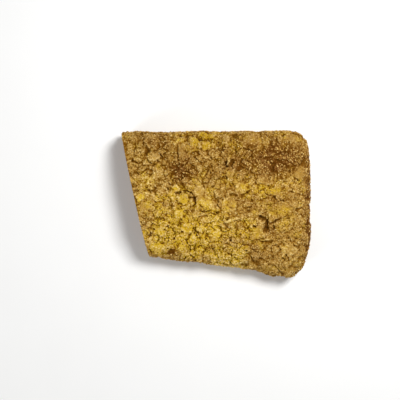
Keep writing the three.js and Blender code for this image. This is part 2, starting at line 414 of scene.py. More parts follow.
# Painted grain: blots, specks, pebbles, fine splits, and heights that the paint stands for
CRUST_BLOT, CRUST_MOTTLE, CRUST_SPECK, CRUST_PEBBLE = 4.5 * MM, 2.2 * MM, 1.4 * MM, 2.4 * MM
SPLIT_SIZE, SPLIT_WANDER, SPLIT_WIDTH, SPLIT_DRIFT = 10 * MM, 9 * MM, 0.7 * MM, 0.6
CRUMB_BLOT, CRUMB_SPECK, CRUMB_LINING = 4 * MM, 0.8 * MM, 9 * MM
MEAL_SPECK = 0.5 * MM
CRUST_BUMP, CRUMB_BUMP, MEAL_BUMP = 1.2 * MM, 0.4 * MM, 0.1 * MM
FLOOR_BLOT, FLOOR_SHADE = 60 * MM, 0.97

# Meshes: steps along, across and up the loaf, rings that close its base, and the least size of a normal
STEPS_ALONG, STEPS_ACROSS, STEPS_UP = 288, 190, 44
BASE_RINGS = (0.985, 0.94, 0.8, 0.5)
LEAST_NORMAL = 1e-12

# Bake map: the area of each sheet as left, bottom, right and top, and two triangles in a nub's area
BAKE_MAP, MAP_GAP = "OFBake", 0.004
CRUST_AREAS = {
    "top": (0.0, 0.0, 0.7, 0.42),
    "far": (0.0, 0.42, 0.7, 0.58),
    "near": (0.0, 0.58, 0.7, 0.74),
    "end": (0.7, 0.0, 1.0, 0.16),
    "base": (0.0, 0.74, 1.0, 0.9),
    "base_middle": (0.7, 0.3, 0.85, 0.7),
    "rim": (0.0, 0.9, 1.0, 1.0),
    "recess": (0.85, 0.3, 1.0, 0.7),
}
CRUMB_AREAS = {
    "front": (0.0, 0.0, 1.0, 0.7),
    "walls": (0.0, 0.7, 1.0, 0.85),
    "back": (0.0, 0.85, 1.0, 1.0),
}
NUB_PAIR = np.array((((0.1, 0.1), (0.8, 0.1), (0.1, 0.8)), ((0.9, 0.1), (0.9, 0.9), (0.2, 0.9))))

# Stage: lamps, floor and camera, with half the picture and the focal length in pixels
KEY_PLACE, KEY_SIZE = (0.34, 0.32, 0.76), 0.3
SIDE_PLACE, SIDE_SIZE = (-1.3, -0.85, 0.52), 0.6
FLOOR_REACH = 3.0
CAMERA_X, CAMERA_Y = -16.74 * MM, 3.82 * MM
HALF_PICTURE, FOCAL_LENGTH, SENSOR_WIDTH = 200, 680, 36


def linear(red, green, blue):
    """A colour given as it shows on a screen, from 0 to 255, in the linear values that shaders take."""
    shown = np.array((red, green, blue)) / 255
    return tuple(np.where(shown <= 0.04045, shown / 12.92, ((shown + 0.055) / 1.055) ** 2.4).tolist())


def colour_property(name, description, shown):
    """A colour setting whose default is given as it shows on a screen."""
    return FloatVectorProperty(
        name=name, description=description, default=linear(*shown), size=3, min=0, max=1, subtype="COLOR"
    )


def length_property(name, description, default):
    """A length setting, in metres."""
    return FloatProperty(
        name=name, description=description, default=default, min=0, unit="LENGTH", precision=5
    )


def power_property(name, description, default):
    """A lamp's power setting, in watts."""
    return FloatProperty(name=name, description=description, default=default, min=0, unit="POWER")


class CrustSettings(bpy.types.PropertyGroup):
    """Colours and thickness of the crust."""

    rind: length_property("Rind", "Thickness of the crust where it is cut", 1.8 * MM)
    recess: length_property("Recess", "Depth behind the cut at which the crumb begins", 9.0 * MM)
    taper: length_property("Taper", "How much narrower the recess is at its back", 5.5 * MM)
    # Partly the brown of the crust and partly painted shade, laid down the cracks and tears
    crack: colour_property("Cracks", "Bottom of the cracks and tears", (104, 66, 12))
    brown: colour_property("Browned", "Crust where the flour has worn off", (126, 81, 4))
    burnt: colour_property("Burnt", "Tint of the crust where it has browned most", (190, 170, 172))
    tan: colour_property("Tan", "Thinly floured crust", (180, 139, 63))
    yellow: colour_property("Yellow", "Thickly floured crust", (211, 172, 39))
    cream: colour_property("Cream", "Palest flour", (237, 207, 134))


class CrumbSettings(bpy.types.PropertyGroup):
    """Pores and colours of the crumb on the cut face."""

    setback: length_property("Set back", "How far the crumb lies behind the rim of the crust", 0.15 * MM)
    overlap: length_property("Overlap", "How far the crumb reaches into the crust", 0.3 * MM)
    depth: length_property("Depth", "Thickness of the crumb", 7.0 * MM)
    flesh: colour_property("Crumb", "Crumb between the pores", (163, 130, 106))
    # Painted shade inside the pores; the crumb's random mottle also blends towards it
    shade: colour_property("Pores", "Inside of the pores", (94, 62, 40))
    skin: colour_property("Skin", "Pale skin that lines some pores", (186, 158, 134))


class NubSettings(bpy.types.PropertyGroup):
    """Nubs of baked flour that stand on the crust."""

    count: IntProperty(name="Nubs", description="Number of nubs", default=9800, min=1)
    smallest: length_property("Smallest", "Half width of the smallest nubs", 0.55 * MM)
    largest: length_property("Largest", "Half width of the largest nubs", 1.35 * MM)


class MealSettings(bpy.types.PropertyGroup):
    """Loose maize meal on the crust."""

    count: IntProperty(name="Grains", description="Number of grains", default=7500, min=1)
    smallest: length_property("Smallest", "Half width of the smallest grains", 0.3 * MM)
    largest: length_property("Largest", "Half width of the largest grains", 0.75 * MM)
    dark: colour_property("Dark grains", "Toasted grains", (188, 146, 66))
    light: colour_property("Light grains", "Pale grains", (236, 202, 124))


class StageSettings(bpy.types.PropertyGroup):
    """Floor, lights and camera."""

    floor: colour_property("Floor", "Pale floor", (246, 246, 245))
    fill: FloatProperty(name="Fill", description="Strength of light from all round", default=0.24, min=0)
    key: power_property("Key", "Power of the main soft lamp", 8.0)
    side: power_property("Side", "Power of the lamp opposite, which is further off", 13.0)
    camera_height: length_property("Camera height", "Height of the camera above the base", 680 * MM)


def smoothstep(value, low, high):
    """0 below low, 1 above high, and a smooth S between them."""
    share = np.clip((value - low) / (high - low), 0, 1)
    return share * share * (3 - 2 * share)


def hash_cells(cells):
    """A repeatable 32-bit mix of each row of three whole numbers."""
    whole = cells.astype(np.int64).astype(np.uint32)
    mixed = whole[..., 0] * np.uint32(0x8DA6B343)
    mixed ^= whole[..., 1] * np.uint32(0xD8163841)
    mixed ^= whole[..., 2] * np.uint32(0xCB1AB31F)
    mixed = (mixed ^ (mixed >> np.uint32(13))) * np.uint32(0x5BD1E995)
    mixed = (mixed ^ (mixed >> np.uint32(15))) * np.uint32(0x27D4EB2D)
    return mixed ^ (mixed >> np.uint32(14))


def chance(cells):
    """A repeatable number from 0 to 1 for each row of three whole numbers."""
    return hash_cells(cells) / WHOLE_HASH


def noise(points):
    """Smooth random field from -1 to 1: the numbers of a cell's eight corners, blended by distance."""
    cell = np.floor(points)
    share = points - cell
    blend = share**3 * (share * (6 * share - 15) + 10)
    total = np.zeros(points.shape[:-1])
    for corner in np.ndindex(2, 2, 2):
        weight = np.where(corner, blend, 1 - blend).prod(axis=-1)
        total += weight * chance(cell + corner)
    return 2 * total - 1


def bend(points, size):
    """Three smooth random fields, one for each axis."""
    return np.stack([noise(points / size + shift) for shift in BEND_SHIFTS], axis=-1)


def plates_at(points):
    """The plate of each point: its random share, the way from its seed and to its edge, in cells.

    Each cell holds one seed, and the edge is halfway between a point's two nearest seeds.
    """
    home = np.floor(points)
    cells = [home + step - 1 for step in np.ndindex(3, 3, 3)]
    mixes = np.stack([hash_cells(cell) for cell in cells])
    jitter = [mixes >> np.uint32(shift) & np.uint32(TEN_BITS) for shift in (0, 10, 20)]
    seeds = np.stack(cells) + np.stack(jitter, axis=-1) / TEN_BITS
    ways = np.linalg.norm(seeds - points, axis=-1)
    nearest = np.argsort(ways, axis=0)[:2]
    own_way, next_way = np.take_along_axis(ways, nearest, axis=0)
    own_seed, next_seed = np.take_along_axis(seeds, nearest[..., None], axis=0)
    share = np.take_along_axis(mixes, nearest[:1], axis=0)[0] / WHOLE_HASH
    edge = (next_way**2 - own_way**2) / (2 * np.linalg.norm(own_seed - next_seed, axis=-1))
    return share, points - own_seed, edge


def opened(points, size, shut, span):
    """How open gaps are: 0 where a smooth random field is below the shut value, and 1 a span above it."""
    return smoothstep(noise(points / size + OPEN_SHIFT), shut, shut + span)


def plated(points, plates):
    """Height of the plates: each is lifted by its share, and falls at its edge into a gap.

    The gap is wide in some places and shut in others.
    """
    bent = points + plates.bend_reach * bend(points, plates.bend_size)
    share, _, edge = plates_at(bent / plates.size)
    width = plates.gap * opened(points, plates.size, plates.shut, GAP_SPAN) + HAIRLINE
    gap = 1 - smoothstep(edge * plates.size, 0, width)
    return plates.lift * (share - 0.5) - plates.depth * gap


def crag_height(points, crags):
    """Height of one size of crags: two smooth random fields, added and with no sign, so that lumps
    meet in creases.

    A crease is cut deeper where a third field is above the shut value.
    """
    bent = points @ CRAG_TURN / crags.size + CRAG_BEND * bend(points, crags.size)
    swing = np.abs(noise(bent) + noise(SECOND_FINENESS * bent[:, ::-1] + SECOND_SHIFT))
    crease = opened(points, CREASE_SPREAD * crags.size, crags.shut, CREASE_SPAN)
    crease *= 1 - smoothstep(swing, 0, crags.breadth)
    return crags.height * (swing - CRAG_LEVEL) - crags.depth * crease


def frayed(points):
    """Points moved by two sizes of random fields, so that what is placed by them has uneven edges."""
    return points + FRAY_REACH * sum(bend(points, size) for size in FRAY_SIZES)


def turned(points, place):
    """Ways along and across a turned place on the top crust, in millimetres."""
    dx, dy = points[:, 0] / MM - place.x, points[:, 1] / MM - place.y
    turn = np.radians(place.turn)
    return dx * cos(turn) + dy * sin(turn), dy * cos(turn) - dx * sin(turn)


def tear_depth(points):
    """Depth of the tears in the top crust: each is a bowed oval dent, deepest in its middle."""
    depth = np.zeros(len(points))
    for tear in TEARS:
        along, across = turned(points, tear)
        u = 2 * along / tear.length
        v = 2 * (across - tear.bow * (1 - u * u)) / tear.width
        depth = np.maximum(depth, tear.depth * MM * np.maximum(0, 1 - u * u - v * v))
    return depth


def flaps_at(points):
    """Share, lift, yellowness and paleness of the flaps: each is a low oval plateau with a steep edge."""
    totals = np.zeros((4, len(points)))
    for flap in FLAPS:
        along, across = turned(points, flap)
        share = 1 - smoothstep(np.hypot(along / flap.along, across / flap.across), *FLAP_EDGE)
        totals += np.outer((1, flap.lift * MM, flap.yellow, flap.pale), share)
    return totals


def patches(points, places):
    """Sum of soft ovals, seen from above, with edges broken up by noise."""
    broken = (points + PATCH_FRAY * bend(points, PATCH_FRAY_SIZE)) / MM
    total = np.zeros(len(points))
    for patch in places:
        u = (broken[:, 0] - patch.x) / patch.along
        v = (broken[:, 1] - patch.y) / patch.across
        total += patch.strength * np.exp(-(u * u) - v * v)
    return total


def closing(share, power):
    """What is left of a size when the loaf has closed by a share of its end: 1 at first, 0 at the tip."""
    return (1 - np.clip(share, 0, 1) ** power) ** (1 / power)


def side_reach(side, x):
    """How far a long side reaches from the X axis at station x."""
    return side.reach + side.flare * x + side.swell * np.exp(-(((x - side.at) / side.spread) ** 2))


def is_outside(end, across, up):
    """Whether points of the box that the loaf fills lie outside the loaf, by the sum of their powers."""
    power = np.where(up < 0, ROUND_FOOT, np.where(across > 0, ROUND_FAR, ROUND_NEAR))
    half = closing(end, np.where(across > 0, END_ROUND_FAR, END_ROUND_NEAR))
    height = closing(end, np.where(up < 0, END_ROUND_FOOT, END_ROUND_CROWN))
    with np.errstate(divide="ignore", invalid="ignore", over="ignore"):
        return np.abs(across / half) ** power + np.abs(up / height) ** power > 1


def loaf_points(along, across, up):
    """Points of a box's skin, drawn in to the box's middle line until they meet the smooth loaf.

    along runs from 0 at the cut to 1 at the baked end, across and up from -1 to 1. The base is flat.
    """
    body = (END_START - CUT_X) / (BAKED_END - CUT_X)
    end = np.maximum(0, (along - body) / (1 - body))
    low, high = np.zeros(len(along)), np.ones(len(along))
    for _ in range(HALVINGS):
        middle = (low + high) / 2
        out = is_outside(middle * end, middle * across, middle * up)
        high = np.where(out, middle, high)
        low = np.where(out, low, middle)
    in_body = CUT_X + (END_START - CUT_X) * along / body
    x = np.where(end > 0, END_START + (BAKED_END - END_START) * low * end, in_body)
    near, far = -side_reach(NEAR, x), side_reach(FAR, x)
    y = near + (far - near) * (1 + low * across) / 2
    z = WAIST_HEIGHT + low * up * np.where(up > 0, CROWN_HEIGHT - WAIST_HEIGHT, FOOT_DEPTH)
    slant = CUT_SLOPE * np.maximum(0, (END_START - x) / (END_START - CUT_X))
    return np.stack([x + slant * (y - CUT_Y), y, np.maximum(z, 0)], axis=-1)


def eased(values, wall):
    """Values kept below a wall: they are squeezed in front of it, so that no crag is cut off flat."""
    over = np.maximum(values - wall + WALL_EASE, 0)
    return np.where(over > 0, wall - WALL_EASE * np.exp(-over / WALL_EASE), values)


def quad_crosses(corners):
    """Normal of each quad, as long as twice its area: the cross product of its diagonals."""
    return np.cross(corners[:, 2] - corners[:, 0], corners[:, 3] - corners[:, 1])


def point_normals(points, quads):
    """Unit normal of each point: the sum of the normals of the quads round it."""
    cross = quad_crosses(points[quads])
    total = np.zeros_like(points)
    for axis in range(3):
        total[:, axis] = np.bincount(quads.ravel(), np.repeat(cross[:, axis], 4), len(points))
    return total / np.maximum(np.linalg.norm(total, axis=-1, keepdims=True), LEAST_NORMAL)


def local_mean(values, quads, rounds):
    """A number for each point, blended with its neighbours' a few times over."""
    shared = np.bincount(quads.ravel(), minlength=len(values))
    for _ in range(rounds):
        means = np.repeat(values[quads].mean(axis=-1), 4)
        values = np.bincount(quads.ravel(), means, len(values)) / shared
    return values


def grid_quads(grid):
    """The four corners of each field of a grid, in order, whatever the grid holds."""
    around = (grid[:-1, :-1], grid[1:, :-1], grid[1:, 1:], grid[:-1, 1:])
    return np.stack(around, axis=2).reshape(-1, 4, *grid.shape[2:])


def outer_quads(sheets):
    """All fields of the loaf's outside."""
    return np.concatenate([grid_quads(sheets[name]) for name in ("top", "far", "near", "end")])


class Skin:
    """Points, faces and bake map of one closed piece, gathered sheet by sheet."""

    def __init__(self, points):
        self.points = points
        self.corners, self.sizes, self.spots = [], [], []

    def add_points(self, points):
        """New points, and the numbers that they get."""
        start = len(self.points)
        self.points = np.concatenate([self.points, points])
        return np.arange(start, len(self.points))

    def add_sheet(self, grid, area):
        """Quads of a grid of point numbers, laid out in an area of the map."""
        left, bottom, right, top = area
        rows = np.linspace(left + MAP_GAP, right - MAP_GAP, grid.shape[0])
        columns = np.linspace(bottom + MAP_GAP, top - MAP_GAP, grid.shape[1])
        spots = np.stack(np.meshgrid(rows, columns, indexing="ij"), axis=-1)
        self.corners.append(grid_quads(grid).ravel())
        self.spots.append(grid_quads(spots).reshape(-1, 2))
        self.sizes.append(np.full((len(rows) - 1) * (len(columns) - 1), 4))

    def add_fan(self, ring, pole, area):
        """Triangles from a ring of point numbers to one pole, laid out as a strip of the map."""
        left, bottom, right, top = area
        columns = np.linspace(bottom + MAP_GAP, top - MAP_GAP, len(ring))
        sides = np.full(len(ring) - 1, left + MAP_GAP)
        poles = np.full(len(ring) - 1, pole)
        self.corners.append(np.stack([ring[1:], ring[:-1], poles], axis=-1).ravel())
        low = np.stack([sides, columns[1:]], axis=-1)
        high = np.stack([sides, columns[:-1]], axis=-1)
        tip = np.stack([sides + right - left - 2 * MAP_GAP, columns[:-1]], axis=-1)
        self.spots.append(np.stack([low, high, tip], axis=1).reshape(-1, 2))
        self.sizes.append(np.full(len(ring) - 1, 3))

    def add_cap(self, edge, rings, pole, ring_area, fan_area):
        """Rings of new points inside a closed edge of point numbers, and a fan from the last to a pole.

        The rings and the fan have an area of the map each.
        """
        loops = [edge]
        for points in rings:
            loop = self.add_points(points)
            loops.append(np.append(loop, loop[0]))
        self.add_sheet(np.stack(loops), ring_area)
        self.add_fan(loops[-1], self.add_points(pole[None])[0], fan_area)

    def build(self, name, attributes, material):
        """The piece as an object, with a number for each point in each attribute."""
        corners = np.concatenate(self.corners)
        sizes = np.concatenate(self.sizes)
        mesh = bpy.data.meshes.new(name)
        mesh.vertices.add(len(self.points))
        mesh.vertices.foreach_set("co", self.points.astype(np.float32).ravel())
        mesh.loops.add(len(corners))
        mesh.loops.foreach_set("vertex_index", corners.astype(np.int32))
        mesh.polygons.add(len(sizes))
        mesh.polygons.foreach_set("loop_start", (np.cumsum(sizes) - sizes).astype(np.int32))
        spots = mesh.uv_layers.new(name=BAKE_MAP)
        spots.data.foreach_set("uv", np.concatenate(self.spots).astype(np.float32).ravel())
        for key, values in attributes.items():
            attribute = mesh.attributes.new(key, "FLOAT", "POINT")
            attribute.data.foreach_set("value", values.astype(np.float32))
        mesh.update(calc_edges=True)
        mesh.shade_smooth()
        mesh.materials.append(material)
        piece = bpy.data.objects.new(name, mesh)
        bpy.context.scene.collection.objects.link(piece)
        return piece


class Wire:
    """A socket of a material, on which Python's operators add Math nodes."""

    def __init__(self, finish, socket):
        self.finish = finish
        self.socket = socket

    def _math(self, operation, first, second):
        inputs = {"Value": first, "Value_001": second}
        return self.finish.add("ShaderNodeMath", {"operation": operation}, inputs)

    def __add__(self, other):
        return self._math("ADD", self, other)

    def __sub__(self, other):
        return self._math("SUBTRACT", self, other)

    def __mul__(self, other):
        return self._math("MULTIPLY", self, other)

    def __rsub__(self, other):
        return self._math("SUBTRACT", other, self)

    __radd__ = __add__
    __rmul__ = __mul__


class Finish:
    """A material under construction, one node to a call."""

    def __init__(self, name):
        self.material = bpy.data.materials.new(name)
        self.material.use_nodes = True
        self.tree = self.material.node_tree
        self.tree.nodes.clear()
        place = self.add("ShaderNodeTexCoord", {}, {}, "Object")
        self.place = self.add("ShaderNodeMapping", {}, {"Vector": place, "Rotation": NOISE_TURN})

    def add(self, kind, settings, inputs, output=None):
        """A node of any kind: its settings, then the values or wires of its sockets. Gives an output."""
        node = self.tree.nodes.new(kind)
        for key, value in settings.items():
            setattr(node, key, value)
        sockets = {socket.identifier: socket for socket in node.inputs}
        for key, value in inputs.items():
            if isinstance(value, Wire):
                self.tree.links.new(value.socket, sockets[key])
            else:
                sockets[key].default_value = value
        outputs = {socket.identifier: socket for socket in node.outputs}
        return Wire(self, outputs[output] if output else next(iter(outputs.values()), None))

    def attribute(self, name):
        """A number that the mesh holds for each point."""
        return self.add("ShaderNodeAttribute", {"attribute_name": name}, {}, "Fac")

    def cloud(self, size, detail=2.0):
        """Smooth random field around 0.5, with blots of about the given size."""
        inputs = {"Vector": self.place, "Scale": 1 / size, "Detail": detail}
        return self.add("ShaderNodeTexNoise", {}, inputs, "Fac")

    def pebbles(self, size):
        """Packed grains of about the given size: 1 at the middle of each, and less the further out."""
        inputs = {"Vector": self.place, "Scale": 1 / size}
        return 1 - self.add("ShaderNodeTexVoronoi", {}, inputs, "Distance")

    def cracks(self, size, wander, width):
        """Wandering lines between plates of about the given size: 1 on a line, and 0 a width away."""
        inputs = {"Vector": self.place, "Scale": 1 / (SPLIT_DRIFT * size)}
        drift = self.add("ShaderNodeTexNoise", {}, inputs, "Color")
        shifts = {"Vector": drift, "Vector_001": (wander, wander, wander), "Vector_002": self.place}
        bent = self.add("ShaderNodeVectorMath", {"operation": "MULTIPLY_ADD"}, shifts, "Vector")
        inputs = {"Vector": bent, "Scale": 1 / size}
        gap = self.add("ShaderNodeTexVoronoi", {"feature": "DISTANCE_TO_EDGE"}, inputs, "Distance")
        return self.ramp(gap, width / size, 0.0)

    def ramp(self, value, low, high):
        """0 up to low, 1 from high on, and a smooth S between them, whichever of them is larger."""
        inputs = {"Value": value, "From Min": low, "From Max": high}
        return self.add("ShaderNodeMapRange", {"interpolation_type": "SMOOTHSTEP"}, inputs)

    def blend(self, factor, first, second, mode="MIX"):
        """One colour where the factor is 0, and what the mode makes of it and another where it is 1."""
        mixing = {"data_type": "RGBA", "blend_type": mode}
        inputs = {"Factor_Float": factor, "A_Color": full(first), "B_Color": full(second)}
        return self.add("ShaderNodeMix", mixing, inputs, "Result_Color")

    def bump(self, height, reach):
        """A normal that tilts with a height field from 0 to 1, which stands for a real height."""
        return self.add("ShaderNodeBump", {}, {"Height": height, "Distance": reach}, "Normal")

    def surface(self, inputs):
        """The shader of the surface. Gives the finished material."""
        shader = self.add("ShaderNodeBsdfPrincipled", {}, inputs, "BSDF")
        self.add("ShaderNodeOutputMaterial", {}, {"Surface": shader})
        return self.material


def full(colour):
    """A colour setting as the four numbers of a colour socket. A wire stays as it is."""
    return colour if isinstance(colour, Wire) else (*colour, 1.0)


def crust_finish(settings):
    """Crust: brown down its cracks, tan to yellow on its plates, with cream specks of flour.

    The level says how pale a place is: it gains from rise, specks and flour, and loses from browning and
    fine splits. Browner low places and splits are partly bare crust and partly painted shade, and paler
    raised places are partly flour and partly painted highlight. The crack colour down the tears is partly
    brown crust and partly painted shade.
    """
    finish = Finish("crust")
    hollow, rise, hue = (finish.attribute(name) for name in ("hollow", "rise", "hue"))
    calm, browned, floured = (finish.attribute(name) for name in ("calm", "browned", "floured"))
    blots = finish.cloud(CRUST_BLOT, 3.0)
    mottle = finish.cloud(CRUST_MOTTLE, 3.0)
    grit = finish.cloud(CRUST_SPECK, 2.5)
    dusting = finish.ramp(0.9 * floured + 1.4 * (blots - 0.5) + 0.55 * (hue - 0.5), -0.05, 0.85)
    colour = finish.blend(dusting, settings.tan, settings.yellow)
    grains = finish.pebbles(CRUST_PEBBLE)
    lumps = (0.3 + 0.75 * floured) * (grains - 0.5)
    specks = (1 - 0.4 * calm) * (0.6 * (mottle - 0.5) + 1.9 * (grit - 0.5) + lumps)
    splits = finish.cracks(SPLIT_SIZE, SPLIT_WANDER, SPLIT_WIDTH)
    splits = splits * finish.ramp(blots, 0.4, 0.6) * (1 - calm)
    # Browner in low places and along splits, paler on raised places: partly bare crust and flour, partly
    # painted shade and painted highlight
    level = 0.49 + 0.42 * rise + specks - 0.22 * browned + 0.1 * floured - 0.4 * splits
    colour = finish.blend(finish.ramp(level, 0.56, 0.06), colour, settings.brown)
    colour = finish.blend(finish.ramp(level, 0.58, 1.2), colour, settings.cream)
    colour = finish.blend(browned, colour, settings.burnt, "MULTIPLY")
    # Darker where a tear is deep and the place is low: painted shade over the crust's own brown
    sunk = finish.ramp(hollow - level, -0.15, 0.75)
    colour = finish.blend(sunk, colour, settings.crack)
    relief = finish.bump(grit + mottle + 0.6 * grains - 0.5 * splits, CRUST_BUMP)
    return finish.surface({"Base Color": colour, "Roughness": 0.7 + 0.25 * grit, "Normal": relief,
                           "Specular IOR Level": 0.05})


def crumb_finish(settings):
    """Crumb: matt and mottled, with painted shade down its pores, some of which have a pale lining."""
    finish = Finish("crumb")
    pore = finish.attribute("pore")
    blots, grit = finish.cloud(CRUMB_BLOT), finish.cloud(CRUMB_SPECK, 3.0)
    lining = finish.ramp(finish.cloud(CRUMB_LINING) + 0.3 * (grit - 0.5), 0.52, 0.62)
    inside = finish.blend(lining, settings.shade, settings.skin)
    mottle = finish.ramp(grit + 0.5 * (blots - 0.5), 0.12, 0.72)
    flesh = finish.blend(mottle, settings.shade, settings.flesh)
    # Darker as the pores deepen: painted shade, except where a pale lining shows
    colour = finish.blend(finish.ramp(pore, 0.02, 0.5), flesh, inside)
    relief = finish.bump(grit, CRUMB_BUMP)
    return finish.surface({"Base Color": colour, "Roughness": 0.8, "Normal": relief,
                           "Specular IOR Level": 0.3})


def meal_finish(settings):
    """Maize meal: grains from toasted to pale, a little glossy."""
    finish = Finish("maize_meal")
    grit = finish.cloud(MEAL_SPECK)
    colour = finish.blend(finish.attribute("paleness"), settings.dark, settings.light)
    relief = finish.bump(grit, MEAL_BUMP)
    return finish.surface({"Base Color": colour, "Roughness": 0.3 + 0.2 * grit, "Normal": relief,
                           "Specular IOR Level": 0.3})


def floor_finish(settings):
    """Floor: plain and matt, with a very faint unevenness."""
    finish = Finish("floor")
    shade = Vector(settings.floor) * FLOOR_SHADE
    colour = finish.blend(finish.cloud(FLOOR_BLOT), settings.floor, shade)
    return finish.surface({"Base Color": colour, "Roughness": 0.9, "Specular IOR Level": 0.1})


class LoafShape(NamedTuple):
    """The crust's outer surface: its points, their numbers on sheets and edge rings, and its tones."""

    points: np.ndarray
    sheets: dict
    base_ring: np.ndarray
    cut_ring: np.ndarray
    tones: dict


def spread(number, steps):
    """A step's place from -1 to 1, closer together in the middle: the tangent of evenly spaced angles."""
    return np.tan(pi / 4 * (2 * number / steps - 1))


def lattice_sheets():
    """Point numbers of the box's top, sides, baked end and cut floor, and each point's place in the box.

    The place runs from 0 to 1 along, and from -1 to 1 across and up.
    """
    i, j, k = np.arange(STEPS_ALONG + 1), np.arange(STEPS_ACROSS + 1), np.arange(STEPS_UP + 1)

    def codes(along, across, up):
        return (along * (STEPS_ACROSS + 1) + across) * (STEPS_UP + 1) + up

    coded = {
        "top": codes(i[:, None], j[None, :], STEPS_UP),
        "far": codes(i[None, :], STEPS_ACROSS, k[:, None]),
        "near": codes(i[:, None], 0, k[None, :]),
        "end": codes(STEPS_ALONG, j[:, None], k[None, :]),
        "cut_floor": codes(0, j, 0),
    }
    kept = np.unique(np.concatenate([sheet.ravel() for sheet in coded.values()]))
    sheets = {name: np.searchsorted(kept, sheet) for name, sheet in coded.items()}
    rest, up = np.divmod(kept, STEPS_UP + 1)
    along, across = np.divmod(rest, STEPS_ACROSS + 1)
    return sheets, (along / STEPS_ALONG, spread(across, STEPS_ACROSS), spread(up, STEPS_UP))


@cache
def loaf_shape():
    """The smooth loaf pushed out along its normals by lumps, plates, crags, flaps and grit, less tears.

    The ring at the cut moves only in the plane of the cut. The relief fades out towards the base, is
    shallow near the cut, and stays in the solid's box.
    """
    sheets, places = lattice_sheets()
    smooth = loaf_points(*places)
    quads = outer_quads(sheets)
    normals = point_normals(smooth, quads)
    cut_ring = np.concatenate([sheets["cut_floor"][:-1], sheets["far"][:-1, 0], sheets["top"][0, :0:-1],
                               sheets["near"][0, ::-1]])
    base_ring = np.concatenate([sheets["near"][:-1, 0], sheets["end"][:-1, 0], sheets["far"][0, :0:-1],
                                sheets["cut_floor"][::-1]])
    normals[cut_ring] -= (normals[cut_ring] @ INTO_CUT)[:, None] * INTO_CUT
    on_top = smooth[:, 2] > WAIST_HEIGHT
    tears = on_top * tear_depth(frayed(smooth))
    flapped, lift, yellow, pale = on_top * flaps_at(frayed(smooth))
    calm = np.minimum(flapped, 1)
    blots = noise(smooth / CRAGGY_SIZE + CRAGGY_SHIFT) - smooth[:, 0] / CRAGGY_FADE
    craggy = CRAGGY_LEAST + (1 - CRAGGY_LEAST) * smoothstep(blots, *CRAGGY_SPAN)
    craggy *= 1 - FLAP_CALM * calm
    height = LUMP_HEIGHT * noise(smooth / LUMP_SIZE) + plated(smooth, PLATES) + lift - tears
    height += craggy * sum(crag_height(smooth, crags) for crags in CRAGS)
    height += GRIT_HEIGHT * noise(smooth / GRIT_SIZE)
    height = np.maximum(height, -CUT_SHELL - CUT_SPREAD * ((smooth - CUT_MIDDLE) @ INTO_CUT))
    points = smooth + normals * (height * smoothstep(smooth[:, 2], 0, BARE_FOOT))[:, None]
    points[:, 2] = eased(points[:, 2], CAD_HIGH[2])
    points[:, 1] = eased(points[:, 1], CAD_HIGH[1])
    points[:, 1] = -eased(-points[:, 1], -CAD_LOW[1])
    points = np.clip(points, CAD_LOW, CAD_HIGH)
    low_down = FOOT_BROWNED * (1 - smoothstep(smooth[:, 2], *FOOT_SPAN))
    tones = {
        # Depth of the tears, down which the crust's colour is darkened: partly brown crust, partly
        # painted shade
        "hollow": smoothstep(tears, *HOLLOW_SPAN),
        # Height above the neighbours: the crust's colour is paler where high and browner where low,
        # partly as painted highlight and painted shade
        "rise": np.clip((height - local_mean(height, quads, RISE_ROUNDS)) / RISE_HEIGHT, -1, 1),
        "hue": 0.5 + HUE_REACH * noise(smooth / HUE_SIZE + HUE_SHIFT),
        "calm": calm,
        "browned": np.clip(patches(smooth, BROWNED) + low_down - pale, *BROWNED_LIMITS),
        "floured": np.clip(patches(smooth, FLOURED) + yellow, 0, 1),
    }
    return LoafShape(points, sheets, base_ring, cut_ring, tones)


def inset(ring, depth):
    """A ring of points on the cut, each moved by a depth towards the nearest point of its middle line."""
    along = (ring - CUT_MIDDLE) @ ALONG_CUT
    half = np.abs(along).max() - CROWN_HEIGHT / 2
    middle = (along.max() + along.min()) / 2
    spine = CUT_MIDDLE + np.clip(along, middle - half, middle + half)[:, None] * ALONG_CUT
    spine[:, 2] = CROWN_HEIGHT / 2
    inwards = spine - ring
    return ring + inwards * (depth / np.linalg.norm(inwards, axis=-1, keepdims=True))


class CIABATTA_OT_crust(bpy.types.Operator):
    """Make the crust: the loaf's outside, its base, and a rim at the cut round a recess for the crumb"""

    bl_idname = "ciabatta.crust"
    bl_label = "Crust"

    def execute(self, context):
        settings = context.scene.ciabatta_crust
        shape = loaf_shape()
        skin = Skin(shape.points)
        skin.add_sheet(shape.sheets["top"], CRUST_AREAS["top"])
        skin.add_sheet(shape.sheets["far"].T[:, ::-1], CRUST_AREAS["far"])
        skin.add_sheet(shape.sheets["near"], CRUST_AREAS["near"])
        skin.add_sheet(shape.sheets["end"], CRUST_AREAS["end"])
        base = shape.points[shape.base_ring]
        middle = base.mean(axis=0)
        rings = [middle + (base[:-1] - middle) * share for share in BASE_RINGS]
        skin.add_cap(shape.base_ring, rings, middle, CRUST_AREAS["base"], CRUST_AREAS["base_middle"])
        under = len(skin.points)
        rim = inset(shape.points[shape.cut_ring[:-1]], settings.rind)
        rings = [rim, inset(rim, settings.taper) + settings.recess * INTO_CUT]
        back = rim.mean(axis=0) + settings.recess * INTO_CUT
        skin.add_cap(shape.cut_ring, rings, back, CRUST_AREAS["rim"], CRUST_AREAS["recess"])
        counts = (under - len(shape.points), len(skin.points) - under)
        tones = {
            key: np.append(values, np.repeat((BASE_TONES[key], RIM_TONES[key]), counts))
            for key, values in shape.tones.items()
        }
        crust = skin.build("crust", tones, crust_finish(settings))
        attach(crust, "root")
        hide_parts("ciabatta")
        return {"FINISHED"}


class Pore(NamedTuple):
    """A pocket that the knife opened: its place on the cut, half length and turn."""

    along: float
    height: float
    size: float
    turn: float


